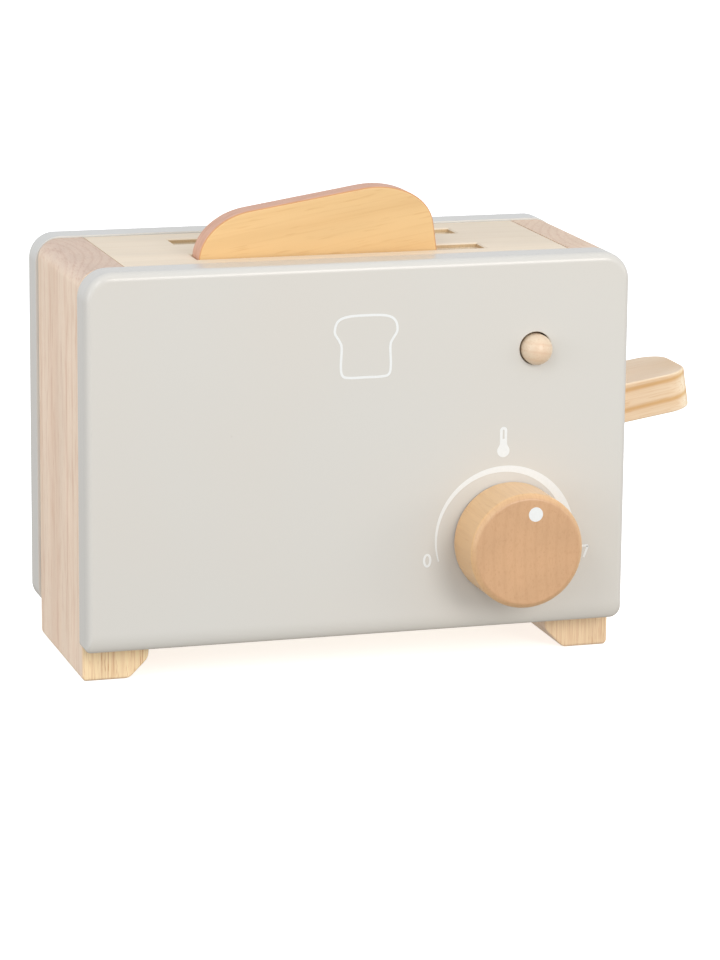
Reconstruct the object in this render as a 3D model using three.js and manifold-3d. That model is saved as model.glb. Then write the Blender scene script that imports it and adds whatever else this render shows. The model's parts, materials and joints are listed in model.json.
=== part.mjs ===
// A wooden play toaster: two lacquered panels on two thick side boards that also make the feet, a plywood
// top with two slots, a rocking lever that lifts a wooden slice of toast, a press button and a dial knob.
// Millimetres, +Z up, front towards -Y, lever towards +X. Origin: bottom centre of the whole toy.
import * as THREE from "three";
import { mergeVertices } from "three/addons/utils/BufferGeometryUtils.js";
import Module from "manifold-3d";

const wasm = await Module();
wasm.setup();

// Front and rear panel
const PANEL_WIDTH = 205;
const PANEL_HEIGHT = 139;
const PANEL_THICKNESS = 13;
const PANEL_TOP_RADIUS = 10.5;
const PANEL_BOTTOM_RADIUS = 4.3;
const PANEL_ROUNDOVER = 4;
const BLIND_DEPTH = 9; // of the dowel holes on a panel's inner face

// Side boards, whose lower ends are the feet
const BOARD_THICKNESS = 25;
const BOARD_DEPTH = 70;
const BOARD_INSET = 1; // the boards stay this far inside the panels' outline
const FOOT_HEIGHT = 13.5;
const FOOT_CHAMFER = 7.5;
const FOOT_CHAMFER_SOFTENING = 2; // from each corner of the chamfer to where its curve starts
const FOOT_EDGE_RADIUS = 1.5;

// Top plate, let into a step in the side boards
const TOP_THICKNESS = 9;
const TOP_LAP = 8; // how far it lies on each side board
const TOP_GAP = 0.4; // joint all round it
const SLOT_LENGTH = 110;
const SLOT_WIDTH = 12;
const SLOT_SPACING = 34.4; // between the slots' centre lines

// Base plate, held in a groove in each side board
const BASE_THICKNESS = 6;
const BASE_ABOVE_PANEL_EDGE = 4;
const GROOVE_DEPTH = 5;
const GROOVE_PLAY = 0.3;

// Strips under the top plate that keep a slice upright
const GUIDE_HEIGHT = 34;
const GUIDE_PLAY = 0.3; // behind each edge of a slot

// Dowels between the panels and the side boards
const DOWEL_RADIUS = 3;
const DOWEL_IN_BOARD = 15;
const DOWEL_PLAY = 0.15;
const DOWEL_LOW = 22; // height above the panel's lower edge
const DOWEL_HIGH = 104;

// Rocking lever and the cross dowel it turns on
const PIVOT_FROM_EDGE = 35; // from the panel's right edge
const PIVOT_ABOVE_PANEL_EDGE = 68;
const PIVOT_RADIUS = 3;
const LEVER_WIDTH = 34;
const LEVER_THICKNESS = 15;
const LEVER_OUTER = 74.5; // from the pivot to the paddle's end
const LEVER_INNER = 112; // from the pivot to the inner end
const LEVER_END_RADIUS = 10;
const LEVER_INNER_RADIUS = 3;
const LEVER_EASE = 0.8; // its softened edges
const LEVER_REST_TILT = 9; // degrees, outer end up
const LEVER_TRAVEL = 14; // degrees, pressed down
const LEVER_SIDE_PLAY = 0.8;
const LEVER_STOP_GAP = 0.3;

// Platform under the slices, screwed to the lever
const PLATFORM_LENGTH = 92;
const PLATFORM_WIDTH = 46;
const PLATFORM_THICKNESS = 6;
const PLATFORM_RADIUS = 3;
const SEAT_GAP = 0.3; // between pieces that lie on each other on the tilted lever
const SCREW_RADIUS = 1.75;
const SCREW_HEAD_RADIUS = 3.5;
const SCREW_HEAD_HEIGHT = 2.2;
const SCREW_RIM_HEIGHT = 0.3;
const SCREW_LENGTH = 16;
const SCREW_PLAY = 0.2;
const SCREW_SPACING = 54;

// Slice of toast
const TOAST_WIDTH = 90;
const TOAST_HEIGHT = 89;
const TOAST_THICKNESS = 10;
const TOAST_RIGHT_RUN = 27; // the upper corners are quarter ellipses, this wide
const TOAST_RIGHT_RISE = 18;
const TOAST_LEFT_RUN = 18;
const TOAST_LEFT_RISE = 16;
const TOAST_WAIST_TUCK = 2;
const TOAST_LOWER_RADIUS = 9;
const TOAST_EASE = 0.8;
const TOAST_FROM_PIVOT = 64.9; // its centre line, measured along the lever

// Dial knob
const KNOB_RADIUS = 21.5;
const KNOB_LENGTH = 21.5;
const KNOB_BEVEL = 2;
const KNOB_BACK_BEVEL = 0.6;
const KNOB_GAP = 0.5; // to the panel
const KNOB_FROM_EDGE = 45.45;
const KNOB_ABOVE_PANEL_EDGE = 33.7;
const SPINDLE_RADIUS = 4;
const SPINDLE_IN_KNOB = 13;
const SPINDLE_PLAY = 0.3;
const WASHER_RADIUS = 10;
const WASHER_THICKNESS = 1.5;
const KNOB_SCREW_RADIUS = 1.75;
const KNOB_SCREW_HEAD_RADIUS = 3.5;
const KNOB_SCREW_HEAD_HEIGHT = 2.4;
const KNOB_SCREW_LENGTH = 14;

// Press button
const BUTTON_RADIUS = 5.7;
const BUTTON_HOLE_RADIUS = 6.1;
const BUTTON_STICKS_OUT = 6.2;
const BUTTON_DOME_HEIGHT = 5.2;
const BUTTON_FLANGE_RADIUS = 7.8;
const BUTTON_FLANGE_THICKNESS = 3;
const BUTTON_TRAVEL = 4;
const BUTTON_FROM_EDGE = 36.4;
const BUTTON_BELOW_TOP = 34.3;
const BUTTON_GAP = 0.3;
const BLOCK_WIDTH = 20;
const BLOCK_DEPTH = 24;
const BLOCK_BACK_WALL = 4;
const BLOCK_CLEARANCE = 1; // to the strip beside the slot
const SPRING_RADIUS = 5.4;
const SPRING_WIRE_RADIUS = 0.5;
const SPRING_TURNS = 6;

// Facets and overruns
const ARC_STEPS = 8; // of an outline's quarter round
const ROUND_SIDES = 24;
const KNOB_SIDES = 48;
const BEVEL_STEPS = 4;
const SPRING_SIDES = 5;
const SPRING_STEPS_PER_TURN = 8;
const OVERRUN = 5; // of a cutting tool past the face that it leaves by

// Places that several pieces share
const halfWidth = PANEL_WIDTH / 2;
const halfDepth = BOARD_DEPTH / 2;
const boardOuterX = halfWidth - BOARD_INSET;
const boardInnerX = boardOuterX - BOARD_THICKNESS;
const boardMiddleX = boardOuterX - BOARD_THICKNESS / 2;
const bodyTop = FOOT_HEIGHT + PANEL_HEIGHT - BOARD_INSET;
const topUnderside = bodyTop - TOP_THICKNESS;
const guideLow = topUnderside - GUIDE_HEIGHT;
const dowelHeights = [DOWEL_LOW, DOWEL_HIGH].map((height) => FOOT_HEIGHT + height);
const pivot = new THREE.Vector2(halfWidth - PIVOT_FROM_EDGE, FOOT_HEIGHT + PIVOT_ABOVE_PANEL_EDGE);
const knobPlace = new THREE.Vector2(halfWidth - KNOB_FROM_EDGE, FOOT_HEIGHT + KNOB_ABOVE_PANEL_EDGE);
const buttonPlace = new THREE.Vector2(
  halfWidth - BUTTON_FROM_EDGE,
  FOOT_HEIGHT + PANEL_HEIGHT - BUTTON_BELOW_TOP,
);
const restTilt = THREE.MathUtils.degToRad(LEVER_REST_TILT);
const pressedTilt = restTilt - THREE.MathUtils.degToRad(LEVER_TRAVEL);

const finish = (color, roughness, metalness = 0) =>
  new THREE.MeshStandardMaterial({ color, roughness, metalness });
const LACQUER = finish(0xdcd8d0, 0.45);
const PINE = finish(0xdec3a6, 0.7);
const PLYWOOD = finish(0xe6d9c6, 0.75);
const BEECH = finish(0xd9ad82, 0.6);
const PALE_WOOD = finish(0xf0d6b0, 0.65);
const TOAST_WOOD = finish(0xf0c383, 0.6);
const STEEL = finish(0xb8b8b8, 0.35, 0.9);

function solidOf(geometry) {
  const bare = geometry.clone();
  bare.deleteAttribute("normal");
  bare.deleteAttribute("uv");
  const merged = mergeVertices(bare);
  const vertProperties = new Float32Array(merged.attributes.position.array);
  return new wasm.Manifold(
    new wasm.Mesh({ numProp: 3, vertProperties, triVerts: new Uint32Array(merged.index.array) }),
  );
}

function cut(geometry, tools) {
  const solid = tools.reduce((rest, tool) => rest.subtract(solidOf(tool)), solidOf(geometry));
  const { vertProperties, triVerts } = solid.getMesh();
  const result = new THREE.BufferGeometry();
  result.setAttribute("position", new THREE.BufferAttribute(vertProperties, 3));
  result.setIndex(new THREE.BufferAttribute(triVerts, 1));
  result.computeVertexNormals();
  return result;
}

function piece(name, geometry, material, place = [0, 0, 0]) {
  const mesh = new THREE.Mesh(geometry, material);
  mesh.name = name;
  mesh.position.set(...place);
  return mesh;
}

// A box with its lowest corner at the given place.
function block(width, depth, height, x, y, z) {
  return new THREE.BoxGeometry(width, depth, height).translate(
    x + width / 2,
    y + depth / 2,
    z + height / 2,
  );
}

// A round rod along Y, from y to y + length.
function rod(radius, length, x, y, z) {
  return new THREE.CylinderGeometry(radius, radius, length, ROUND_SIDES).translate(x, y + length / 2, z);
}

// A turned shape from radius and distance pairs; the distance runs along -Y, towards the front.
function turned(profile, sides = ROUND_SIDES) {
  const points = profile.map(([radius, along]) => new THREE.Vector2(radius, along));
  return new THREE.LatheGeometry(points, sides).rotateX(Math.PI);
}

// An outline drawn in X and Z becomes a board from y = 0 back to y = -depth.
function boardFrom(shape, depth, ease = 0, steps = 1) {
  return new THREE.ExtrudeGeometry(shape, {
    depth: depth - 2 * ease,
    bevelEnabled: ease > 0,
    bevelThickness: ease,
    bevelSize: ease,
    bevelOffset: -ease,
    bevelSegments: steps,
    curveSegments: ARC_STEPS,
  })
    .rotateX(Math.PI / 2)
    .translate(0, -ease, 0);
}

function panelOutline() {
  const shape = new THREE.Shape();
  const top = PANEL_HEIGHT - PANEL_TOP_RADIUS;
  const side = halfWidth - PANEL_TOP_RADIUS;
  const lowSide = halfWidth - PANEL_BOTTOM_RADIUS;
  shape.absarc(side, top, PANEL_TOP_RADIUS, 0, Math.PI / 2);
  shape.absarc(-side, top, PANEL_TOP_RADIUS, Math.PI / 2, Math.PI);
  shape.absarc(-lowSide, PANEL_BOTTOM_RADIUS, PANEL_BOTTOM_RADIUS, Math.PI, 1.5 * Math.PI);
  shape.absarc(lowSide, PANEL_BOTTOM_RADIUS, PANEL_BOTTOM_RADIUS, 1.5 * Math.PI, 2 * Math.PI);
  return shape;
}

// A panel with its inner face at y = 0, its lower edge at z = 0 and its outer edges rounded over.
// The extrusion is rounded at both ends, so the inner one is run long and cut off.
function panel() {
  const long = PANEL_THICKNESS + OVERRUN;
  const blank = boardFrom(panelOutline(), long, PANEL_ROUNDOVER, BEVEL_STEPS).translate(0, OVERRUN, 0);
  const waste = block(
    PANEL_WIDTH + 2 * OVERRUN,
    2 * OVERRUN,
    PANEL_HEIGHT + 2 * OVERRUN,
    -halfWidth - OVERRUN,
    0,
    -OVERRUN,
  );
  const holes = [-boardMiddleX, boardMiddleX].flatMap((x) =>
    dowelHeights.map((z) => blindHole(DOWEL_RADIUS + DOWEL_PLAY, x, z - FOOT_HEIGHT)),
  );
  return [blank, [waste, ...holes]];
}

function blindHole(radius, x, z) {
  return rod(radius, BLIND_DEPTH + OVERRUN, x, -BLIND_DEPTH, z);
}

function throughHole(radius, x, z) {
  return rod(radius, PANEL_THICKNESS + 2 * OVERRUN, x, -PANEL_THICKNESS - OVERRUN, z);
}

function frontPanel() {
  const [blank, tools] = panel();
  return cut(blank, [
    ...tools,
    blindHole(PIVOT_RADIUS + DOWEL_PLAY, pivot.x, pivot.y - FOOT_HEIGHT),
    throughHole(SPINDLE_RADIUS + SPINDLE_PLAY, knobPlace.x, knobPlace.y - FOOT_HEIGHT),
    throughHole(BUTTON_HOLE_RADIUS, buttonPlace.x, buttonPlace.y - FOOT_HEIGHT),
  ]);
}

// The rear panel is the same piece turned about the upright axis, so its pivot hole is mirrored.
function rearPanel() {
  const [blank, tools] = panel();
  const pivotHole = blindHole(PIVOT_RADIUS + DOWEL_PLAY, -pivot.x, pivot.y - FOOT_HEIGHT);
  return cut(blank, [...tools, pivotHole]).rotateZ(Math.PI);
}

// A side board in place on the left, with its rounded top corner, the step for the top plate,
// the chamfered foot and the groove for the base plate.
function sideBoard() {
  const left = -boardOuterX;
  const right = -boardInnerX;
  const corner = PANEL_TOP_RADIUS - BOARD_INSET;
  const shape = new THREE.Shape();
  const soft = FOOT_CHAMFER_SOFTENING;
  const softSlant = soft / Math.SQRT2;
  shape.moveTo(right, FOOT_CHAMFER + soft);
  shape.lineTo(right, topUnderside);
  shape.lineTo(right - TOP_LAP, topUnderside);
  shape.lineTo(right - TOP_LAP, bodyTop);
  shape.absarc(left + corner, bodyTop - corner, corner, Math.PI / 2, Math.PI);
  shape.absarc(
    left + FOOT_EDGE_RADIUS,
    FOOT_EDGE_RADIUS,
    FOOT_EDGE_RADIUS,
    Math.PI,
    1.5 * Math.PI,
  );
  const slantFoot = right - FOOT_CHAMFER;
  shape.lineTo(slantFoot - soft, 0);
  shape.quadraticCurveTo(slantFoot, 0, slantFoot + softSlant, softSlant);
  shape.lineTo(right - softSlant, FOOT_CHAMFER - softSlant);
  shape.quadraticCurveTo(right, FOOT_CHAMFER, right, FOOT_CHAMFER + soft);
  const board = boardFrom(shape, BOARD_DEPTH).translate(0, halfDepth, 0);
  const baseLow = FOOT_HEIGHT + BASE_ABOVE_PANEL_EDGE - GROOVE_PLAY;
  const groove = block(
    GROOVE_DEPTH + OVERRUN,
    BOARD_DEPTH + 2 * OVERRUN,
    BASE_THICKNESS + 2 * GROOVE_PLAY,
    right - GROOVE_DEPTH,
    -halfDepth - OVERRUN,
    baseLow,
  );
  const holeRadius = DOWEL_RADIUS + DOWEL_PLAY;
  const holes = dowelHeights.flatMap((z) => [
    rod(holeRadius, DOWEL_IN_BOARD + OVERRUN, -boardMiddleX, -halfDepth - OVERRUN, z),
    rod(holeRadius, DOWEL_IN_BOARD + OVERRUN, -boardMiddleX, halfDepth - DOWEL_IN_BOARD, z),
  ]);
  return cut(board, [groove, ...holes]);
}

// Height of the lever's upper (offset +) or lower (offset -) face where it crosses x, at a tilt.
function leverFaceHeight(x, tilt, offset) {
  const along = (x - pivot.x + offset * Math.sin(tilt)) / Math.cos(tilt);
  return pivot.y + along * Math.sin(tilt) + offset * Math.cos(tilt);
}

// The right board is the left one turned about the upright axis, with the opening that the lever
// rocks in. The opening's upper and lower edges are the lever's stops.
function rightBoard() {
  const upper = leverFaceHeight(boardOuterX, restTilt, LEVER_THICKNESS / 2) + LEVER_STOP_GAP;
  const lower = leverFaceHeight(boardOuterX, pressedTilt, -LEVER_THICKNESS / 2) - LEVER_STOP_GAP;
  const width = LEVER_WIDTH + 2 * LEVER_SIDE_PLAY;
  const opening = block(
    BOARD_THICKNESS + 2 * OVERRUN,
    width,
    upper - lower,
    boardInnerX - OVERRUN,
    -width / 2,
    lower,
  );
  return cut(sideBoard().rotateZ(Math.PI), [opening]);
}

function topPlate() {
  const length = 2 * (boardInnerX + TOP_LAP - TOP_GAP);
  const depth = BOARD_DEPTH - 2 * TOP_GAP;
  const plate = block(length, depth, TOP_THICKNESS, -length / 2, -depth / 2, 0);
  const slots = [-1, 1].map((side) =>
    block(
      SLOT_LENGTH,
      SLOT_WIDTH,
      TOP_THICKNESS + 2 * OVERRUN,
      -SLOT_LENGTH / 2,
      (side * SLOT_SPACING - SLOT_WIDTH) / 2,
      -OVERRUN,
    ),
  );
  return cut(plate, slots);
}

function basePlate() {
  const length = 2 * (boardInnerX + GROOVE_DEPTH - GROOVE_PLAY);
  const depth = BOARD_DEPTH - 2 * GROOVE_PLAY;
  return block(length, depth, BASE_THICKNESS, -length / 2, -depth / 2, 0);
}

// The strip between a panel and the slot next to it, its side towards the slot at y = 0.
function outerGuide(side) {
  const thickness = halfDepth - (SLOT_SPACING + SLOT_WIDTH) / 2 - GUIDE_PLAY;
  const y = side > 0 ? halfDepth - thickness : -halfDepth;
  return block(SLOT_LENGTH, thickness, GUIDE_HEIGHT, -SLOT_LENGTH / 2, y, 0);
}

// The front strip, cut clear of the button's block where it is long enough to reach it.
function frontGuide() {
  const size = BLOCK_WIDTH + 2 * BLOCK_CLEARANCE;
  const depth = BLOCK_DEPTH + BLOCK_CLEARANCE + OVERRUN;
  const x = buttonPlace.x - size / 2;
  const z = buttonPlace.y - size / 2 - guideLow;
  return cut(outerGuide(-1), [block(size, depth, size, x, -halfDepth - OVERRUN, z)]);
}

function centreDivider() {
  const thickness = SLOT_SPACING - SLOT_WIDTH - 2 * GUIDE_PLAY;
  return block(SLOT_LENGTH, thickness, GUIDE_HEIGHT, -SLOT_LENGTH / 2, -thickness / 2, 0);
}

// The lever's own outline seen from above, with the pivot at the origin.
function leverBoard() {
  const half = LEVER_WIDTH / 2;
  const shape = new THREE.Shape();
  const outer = LEVER_OUTER - LEVER_END_RADIUS;
  const inner = LEVER_INNER - LEVER_INNER_RADIUS;
  const innerY = half - LEVER_INNER_RADIUS;
  shape.absarc(outer, half - LEVER_END_RADIUS, LEVER_END_RADIUS, 0, Math.PI / 2);
  shape.absarc(-inner, innerY, LEVER_INNER_RADIUS, Math.PI / 2, Math.PI);
  shape.absarc(-inner, -innerY, LEVER_INNER_RADIUS, Math.PI, 1.5 * Math.PI);
  shape.absarc(outer, LEVER_END_RADIUS - half, LEVER_END_RADIUS, 1.5 * Math.PI, 2 * Math.PI);
  const blank = boardFrom(shape, LEVER_THICKNESS, LEVER_EASE, 2)
    .rotateX(-Math.PI / 2)
    .translate(0, 0, -LEVER_THICKNESS / 2);
  const bore = rod(PIVOT_RADIUS + DOWEL_PLAY, LEVER_WIDTH + 2 * OVERRUN, 0, -half - OVERRUN, 0);
  const pilots = screwPlaces().map(([x, y, z]) => screw(SCREW_PLAY).translate(x, y, z));
  return cut(blank, [bore, ...pilots]);
}

const platformLow = LEVER_THICKNESS / 2 + SEAT_GAP;
const platformTop = platformLow + PLATFORM_THICKNESS;
const platformMiddle = PLATFORM_LENGTH / 2 - LEVER_INNER;

function platformBoard() {
  const x = PLATFORM_LENGTH / 2 - PLATFORM_RADIUS;
  const y = PLATFORM_WIDTH / 2 - PLATFORM_RADIUS;
  const shape = new THREE.Shape();
  shape.absarc(x, y, PLATFORM_RADIUS, 0, Math.PI / 2);
  shape.absarc(-x, y, PLATFORM_RADIUS, Math.PI / 2, Math.PI);
  shape.absarc(-x, -y, PLATFORM_RADIUS, Math.PI, 1.5 * Math.PI);
  shape.absarc(x, -y, PLATFORM_RADIUS, 1.5 * Math.PI, 2 * Math.PI);
  const blank = new THREE.ExtrudeGeometry(shape, {
    depth: PLATFORM_THICKNESS,
    bevelEnabled: false,
    curveSegments: ARC_STEPS,
  }).translate(platformMiddle, 0, platformLow);
  return cut(
    blank,
    screwPlaces().map(([px, py, pz]) => screw(SCREW_PLAY).translate(px, py, pz)),
  );
}

// Two screws, in line, whose heads end level with the platform's upper face.
function screwPlaces() {
  return [-1, 1].map((side) => [
    platformMiddle + (side * SCREW_SPACING) / 2,
    0,
    platformTop,
  ]);
}

// A countersunk screw pointing down from z = 0, or with play the hole that takes it.
function screw(play) {
  const head = SCREW_HEAD_RADIUS + play;
  const shank = SCREW_RADIUS + play;
  const low = -SCREW_LENGTH - play;
  const top = play > 0 ? OVERRUN : 0;
  const profile = [
    [0, low],
    [shank, low + shank],
    [shank, -SCREW_HEAD_HEIGHT - play],
    [head, -SCREW_RIM_HEIGHT - play],
    [head, top],
    [0, top],
  ];
  const points = profile.map(([radius, z]) => new THREE.Vector2(radius, z));
  return new THREE.LatheGeometry(points, ROUND_SIDES).rotateX(Math.PI / 2);
}

// The slice's outline, from its lower edge at z = 0: shoulders of two shapes, a slight waist, and
// round lower corners.
function toastSlice() {
  const half = TOAST_WIDTH / 2;
  const waist = half - TOAST_WAIST_TUCK;
  const low = TOAST_LOWER_RADIUS;
  const right = TOAST_HEIGHT - TOAST_RIGHT_RISE;
  const left = TOAST_HEIGHT - TOAST_LEFT_RISE;
  const rightBend = (right - low) / 3;
  const leftBend = (left - low) / 3;
  const shape = new THREE.Shape();
  shape.absarc(waist - low, low, low, 1.5 * Math.PI, 2 * Math.PI);
  shape.bezierCurveTo(waist, low + rightBend, half, right - rightBend, half, right);
  shape.absellipse(half - TOAST_RIGHT_RUN, right, TOAST_RIGHT_RUN, TOAST_RIGHT_RISE, 0, Math.PI / 2);
  shape.absellipse(TOAST_LEFT_RUN - half, left, TOAST_LEFT_RUN, TOAST_LEFT_RISE, Math.PI / 2, Math.PI);
  shape.bezierCurveTo(-half, left - leftBend, -waist, low + leftBend, -waist, low);
  shape.absarc(low - waist, low, low, Math.PI, 1.5 * Math.PI);
  return boardFrom(shape, TOAST_THICKNESS, TOAST_EASE, 2).translate(0, TOAST_THICKNESS / 2, 0);
}

// Knob, spindle, washer and screw share the knob's axis; y = 0 is the panel's outer face.
function knobTurning() {
  const blank = turned(
    [
      [0, KNOB_GAP],
      [KNOB_RADIUS - KNOB_BACK_BEVEL, KNOB_GAP],
      [KNOB_RADIUS, KNOB_GAP + KNOB_BACK_BEVEL],
      [KNOB_RADIUS, KNOB_GAP + KNOB_LENGTH - KNOB_BEVEL],
      [KNOB_RADIUS - KNOB_BEVEL, KNOB_GAP + KNOB_LENGTH],
      [0, KNOB_GAP + KNOB_LENGTH],
    ],
    KNOB_SIDES,
  );
  const socket = SPINDLE_IN_KNOB + DOWEL_PLAY;
  const radius = SPINDLE_RADIUS + DOWEL_PLAY;
  return cut(blank, [rod(radius, socket + OVERRUN, 0, -KNOB_GAP - socket, 0)]);
}

const spindleEnd = PANEL_THICKNESS + KNOB_GAP;

function knobSpindle() {
  const start = -KNOB_GAP - SPINDLE_IN_KNOB;
  const blank = rod(SPINDLE_RADIUS, spindleEnd - start, 0, start, 0);
  const pilot = KNOB_SCREW_LENGTH - WASHER_THICKNESS;
  const radius = KNOB_SCREW_RADIUS + SCREW_PLAY;
  return cut(blank, [rod(radius, pilot + OVERRUN, 0, spindleEnd - pilot, 0)]);
}

function knobWasher() {
  const blank = rod(WASHER_RADIUS, WASHER_THICKNESS, 0, spindleEnd, 0);
  const radius = KNOB_SCREW_RADIUS + SCREW_PLAY;
  return cut(blank, [rod(radius, WASHER_THICKNESS + 2 * OVERRUN, 0, spindleEnd - OVERRUN, 0)]);
}

function knobScrew() {
  const seat = -(spindleEnd + WASHER_THICKNESS);
  const head = seat - KNOB_SCREW_HEAD_HEIGHT;
  return turned([
    [0, head],
    [KNOB_SCREW_HEAD_RADIUS / 2, head],
    [KNOB_SCREW_HEAD_RADIUS, seat - KNOB_SCREW_HEAD_HEIGHT / 2],
    [KNOB_SCREW_HEAD_RADIUS, seat],
    [KNOB_SCREW_RADIUS, seat],
    [KNOB_SCREW_RADIUS, seat + KNOB_SCREW_LENGTH - WASHER_THICKNESS - KNOB_SCREW_RADIUS],
    [0, seat + KNOB_SCREW_LENGTH - WASHER_THICKNESS - SCREW_PLAY],
  ]);
}

// The button is one turned peg: a domed end, a shank through the panel and a flange behind it.
function buttonPeg() {
  const shankEnd = BUTTON_STICKS_OUT - BUTTON_DOME_HEIGHT;
  const flangeFront = -PANEL_THICKNESS - BUTTON_GAP;
  const dome = Array.from({ length: ARC_STEPS + 1 }, (unused, i) => {
    const turn = ((i / ARC_STEPS) * Math.PI) / 2;
    return [BUTTON_RADIUS * Math.cos(turn), shankEnd + BUTTON_DOME_HEIGHT * Math.sin(turn)];
  });
  dome[ARC_STEPS][0] = 0;
  return turned([
    [0, flangeFront - BUTTON_FLANGE_THICKNESS],
    [BUTTON_FLANGE_RADIUS, flangeFront - BUTTON_FLANGE_THICKNESS],
    [BUTTON_FLANGE_RADIUS, flangeFront],
    [BUTTON_RADIUS, flangeFront],
    ...dome,
  ]);
}

// The block behind the panel that the spring pushes against, with its bore open to the panel.
function buttonBlock() {
  const boreRadius = BUTTON_FLANGE_RADIUS + BUTTON_GAP;
  const blank = block(BLOCK_WIDTH, BLOCK_DEPTH, BLOCK_WIDTH, -BLOCK_WIDTH / 2, 0, -BLOCK_WIDTH / 2);
  return cut(blank, [rod(boreRadius, BLOCK_DEPTH - BLOCK_BACK_WALL + OVERRUN, 0, -OVERRUN, 0)]);
}

// A compression spring from the flange to the end of the bore, wound at a steady pitch.
class SpringLine extends THREE.Curve {
  constructor(start, end) {
    super();
    this.start = start;
    this.end = end;
  }

  getPoint(share, target = new THREE.Vector3()) {
    const turn = share * SPRING_TURNS * 2 * Math.PI;
    const y = this.start + share * (this.end - this.start);
    return target.set(SPRING_RADIUS * Math.cos(turn), y, SPRING_RADIUS * Math.sin(turn));
  }
}

function buttonSpring() {
  const margin = SPRING_WIRE_RADIUS + BUTTON_GAP;
  const start = BUTTON_GAP + BUTTON_FLANGE_THICKNESS + margin;
  const end = BLOCK_DEPTH - BLOCK_BACK_WALL - margin;
  const section = new THREE.Shape();
  section.absarc(0, 0, SPRING_WIRE_RADIUS, 0, 2 * Math.PI);
  return new THREE.ExtrudeGeometry(section, {
    steps: SPRING_TURNS * SPRING_STEPS_PER_TURN,
    curveSegments: SPRING_SIDES,
    bevelEnabled: false,
    extrudePath: new SpringLine(start, end),
  });
}

const panelDowel = () =>
  rod(DOWEL_RADIUS, BLIND_DEPTH + DOWEL_IN_BOARD - 2 * DOWEL_PLAY, 0, DOWEL_PLAY - BLIND_DEPTH, 0);

function panelDowels() {
  const dowels = [];
  for (const [panelName, front] of [["front", true], ["rear", false]]) {
    for (const [sideName, x] of [["left", -boardMiddleX], ["right", boardMiddleX]]) {
      dowelHeights.forEach((z, i) => {
        const name = `${panelName}_dowel_${sideName}_${i ? "upper" : "lower"}`;
        const dowel = piece(name, panelDowel(), PALE_WOOD, [x, front ? -halfDepth : halfDepth, z]);
        dowel.rotation.z = front ? 0 : Math.PI;
        dowels.push(dowel);
      });
    }
  }
  return dowels;
}

function body() {
  const group = new THREE.Group();
  const pivotLength = BOARD_DEPTH + 2 * (BLIND_DEPTH - DOWEL_PLAY);
  group.add(
    piece("front_panel", frontPanel(), LACQUER, [0, -halfDepth, FOOT_HEIGHT]),
    piece("rear_panel", rearPanel(), LACQUER, [0, halfDepth, FOOT_HEIGHT]),
    piece("left_side_board", sideBoard(), PINE),
    piece("right_side_board", rightBoard(), PINE),
    piece("top_plate", topPlate(), PLYWOOD, [0, 0, topUnderside]),
    piece("base_plate", basePlate(), PLYWOOD, [0, 0, FOOT_HEIGHT + BASE_ABOVE_PANEL_EDGE]),
    piece("front_guide", frontGuide(), PALE_WOOD, [0, 0, guideLow]),
    piece("rear_guide", outerGuide(1), PALE_WOOD, [0, 0, guideLow]),
    piece("centre_divider", centreDivider(), PALE_WOOD, [0, 0, guideLow]),
    piece("pivot_dowel", rod(PIVOT_RADIUS, pivotLength, 0, -pivotLength / 2, 0), PALE_WOOD, [
      pivot.x,
      0,
      pivot.y,
    ]),
    piece("button_block", buttonBlock(), PALE_WOOD, [buttonPlace.x, -halfDepth, buttonPlace.y]),
    ...panelDowels(),
  );
  return group;
}

function lever() {
  const group = new THREE.Group();
  group.position.set(pivot.x, 0, pivot.y);
  group.rotation.y = -restTilt;
  group.add(
    piece("lever_arm", leverBoard(), PALE_WOOD),
    piece("toast_platform", platformBoard(), PLYWOOD),
    ...screwPlaces().map((place, i) => piece(`platform_screw_${i + 1}`, screw(0), STEEL, place)),
    piece("toast_slice", toastSlice(), TOAST_WOOD, [
      -TOAST_FROM_PIVOT,
      -SLOT_SPACING / 2,
      platformTop + SEAT_GAP,
    ]),
  );
  return group;
}

function knob() {
  const group = new THREE.Group();
  group.position.set(knobPlace.x, -halfDepth - PANEL_THICKNESS, knobPlace.y);
  group.add(
    piece("knob", knobTurning(), BEECH),
    piece("knob_spindle", knobSpindle(), PALE_WOOD),
    piece("knob_washer", knobWasher(), STEEL),
    piece("knob_screw", knobScrew(), STEEL),
  );
  return group;
}

function button() {
  const group = new THREE.Group();
  group.position.set(buttonPlace.x, -halfDepth - PANEL_THICKNESS, buttonPlace.y);
  group.add(
    piece("button_peg", buttonPeg(), PALE_WOOD),
    piece("button_spring", buttonSpring(), STEEL, [0, PANEL_THICKNESS, 0]),
  );
  return group;
}

const toaster = new THREE.Group();
toaster.add(body(), lever(), knob(), button());
toaster.updateMatrixWorld(true);
const bounds = new THREE.Box3().setFromObject(toaster, true);
const middle = bounds.getCenter(new THREE.Vector3());
toaster.position.set(-middle.x, -middle.y, -bounds.min.z);

export default toaster;
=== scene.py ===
import json
import math

import bmesh
import bpy
from mathutils import Matrix, Vector


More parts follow.
